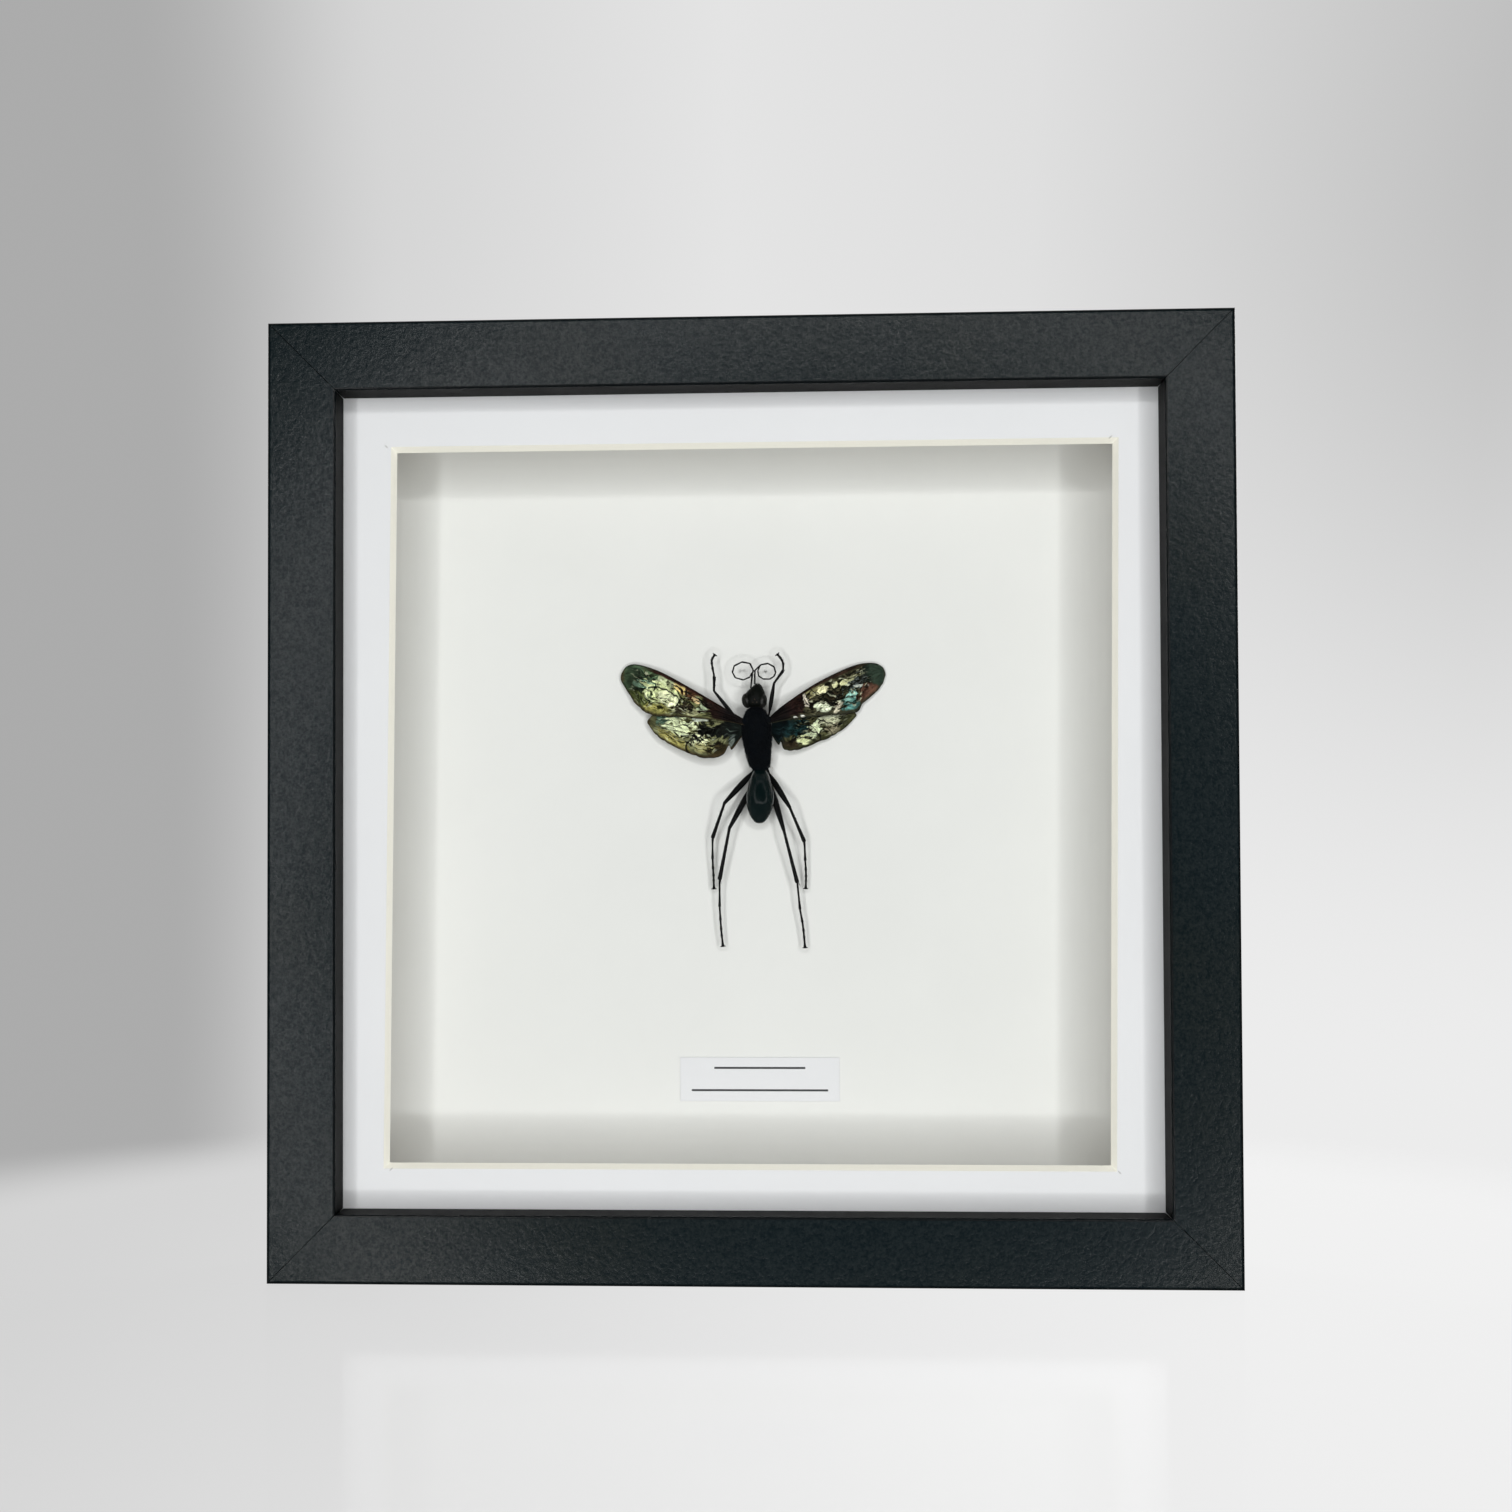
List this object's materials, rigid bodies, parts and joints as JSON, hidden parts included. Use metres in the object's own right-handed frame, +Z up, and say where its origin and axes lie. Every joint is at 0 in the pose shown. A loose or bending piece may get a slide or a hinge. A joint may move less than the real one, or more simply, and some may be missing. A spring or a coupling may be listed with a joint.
{
  "type": "framed tarantula hawk wasp",
  "caption": "Square black box frame with a bevelled white mat, in which a winged black wasp is spread flat on a white card behind glass.",
  "frame": {"origin": "middle of the underside of the bottom rail, halfway between the front and the back", "axes": "+Z up, the front faces -Y, +X to the viewer's right"},
  "size_m": [0.25, 0.045, 0.25],
  "materials": {
    "black_foil": "satin wood-grain foil",
    "pane": "clear",
    "mat_board": "matte, cream core at the bevel",
    "white_card": "matte",
    "label_paper": "smooth",
    "hardboard": "pressed fibre",
    "tab_steel": "zinc plated",
    "hanger_brass": "thin brass plating",
    "head_skin": "satin shell with facet eyes",
    "thorax_velvet": "short velvet hair",
    "abdomen_shell": "glossy shell",
    "wing_membrane": "crinkled iridescent membrane",
    "leg_shell": "satin shell with bristles"
  },
  "bodies": {
    "root": {"rail_top": "black_foil", "rail_bottom": "black_foil", "rail_left": "black_foil", "rail_right": "black_foil", "glass": "pane", "mat": "mat_board", "spacer_top": "white_card", "spacer_bottom": "white_card", "spacer_left": "white_card", "spacer_right": "white_card", "backing_card": "white_card", "label": "label_paper", "back_panel": "hardboard", "tab_1": "tab_steel", "tab_2": "tab_steel", "tab_3": "tab_steel", "tab_4": "tab_steel", "tab_5": "tab_steel", "tab_6": "tab_steel", "tab_7": "tab_steel", "tab_8": "tab_steel", "hanger": "hanger_brass", "hanger_nail_left": "hanger_brass", "hanger_nail_right": "hanger_brass", "head": "head_skin", "thorax": "thorax_velvet", "abdomen": "abdomen_shell", "forewing_left": "wing_membrane", "forewing_right": "wing_membrane", "hindwing_left": "wing_membrane", "hindwing_right": "wing_membrane", "foreleg_left": "leg_shell", "foreleg_right": "leg_shell", "midleg_left": "leg_shell", "midleg_right": "leg_shell", "hindleg_left": "leg_shell", "hindleg_right": "leg_shell", "antenna_left": "leg_shell", "antenna_right": "leg_shell"}
  },
  "joints": []
}
